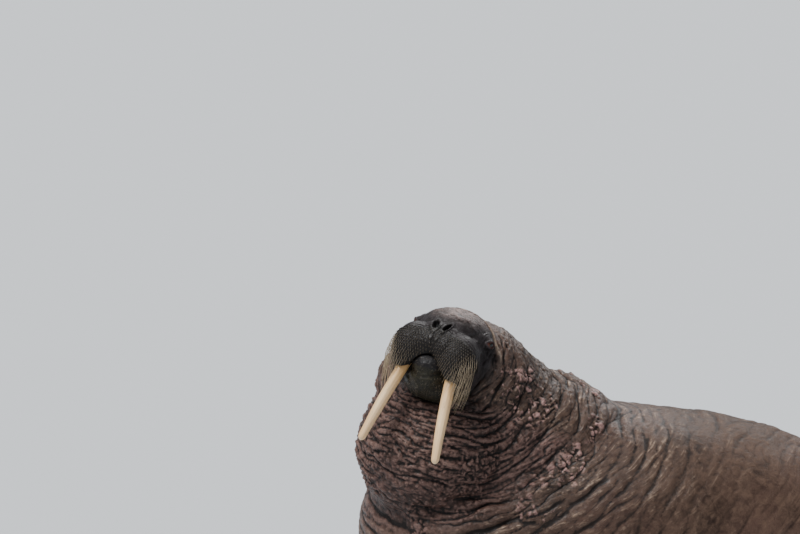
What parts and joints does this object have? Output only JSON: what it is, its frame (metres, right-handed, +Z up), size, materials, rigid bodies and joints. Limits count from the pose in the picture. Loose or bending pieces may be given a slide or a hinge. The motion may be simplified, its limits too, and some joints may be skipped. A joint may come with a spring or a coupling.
{
  "type": "walrus",
  "caption": "Life-size adult male walrus lying on its belly, head raised and turned to its left, with long tusks, a whiskered muzzle and broad flippers.",
  "frame": {"origin": "middle of the animal's footprint, on the floor", "axes": "+Z up, +X along the body from the chest to the tail, +Y to the animal's right; the head is turned to the left, towards -Y"},
  "size_m": [2.893, 1.9502, 1.2533],
  "materials": {
    "hide": "damp, folded brown hide with sparse short fur",
    "muzzle_hide": "damp dark hide with pale yellow-grey bristles",
    "flipper_hide": "thick bare hide, finely cracked",
    "tusk_ivory": "smooth cream and tan ivory",
    "eye": "wet and glossy"
  },
  "bodies": {
    "root": {"eye_left": "eye", "eye_right": "eye", "fore_flipper_left": "flipper_hide", "fore_flipper_right": "flipper_hide", "head": "hide", "hind_flipper_left": "flipper_hide", "hind_flipper_right": "flipper_hide", "hindquarters": "hide", "lower_jaw": "muzzle_hide", "muzzle": "muzzle_hide", "neck": "hide", "tail": "hide", "torso": "hide", "tusk_left": "tusk_ivory", "tusk_right": "tusk_ivory"}
  },
  "joints": []
}
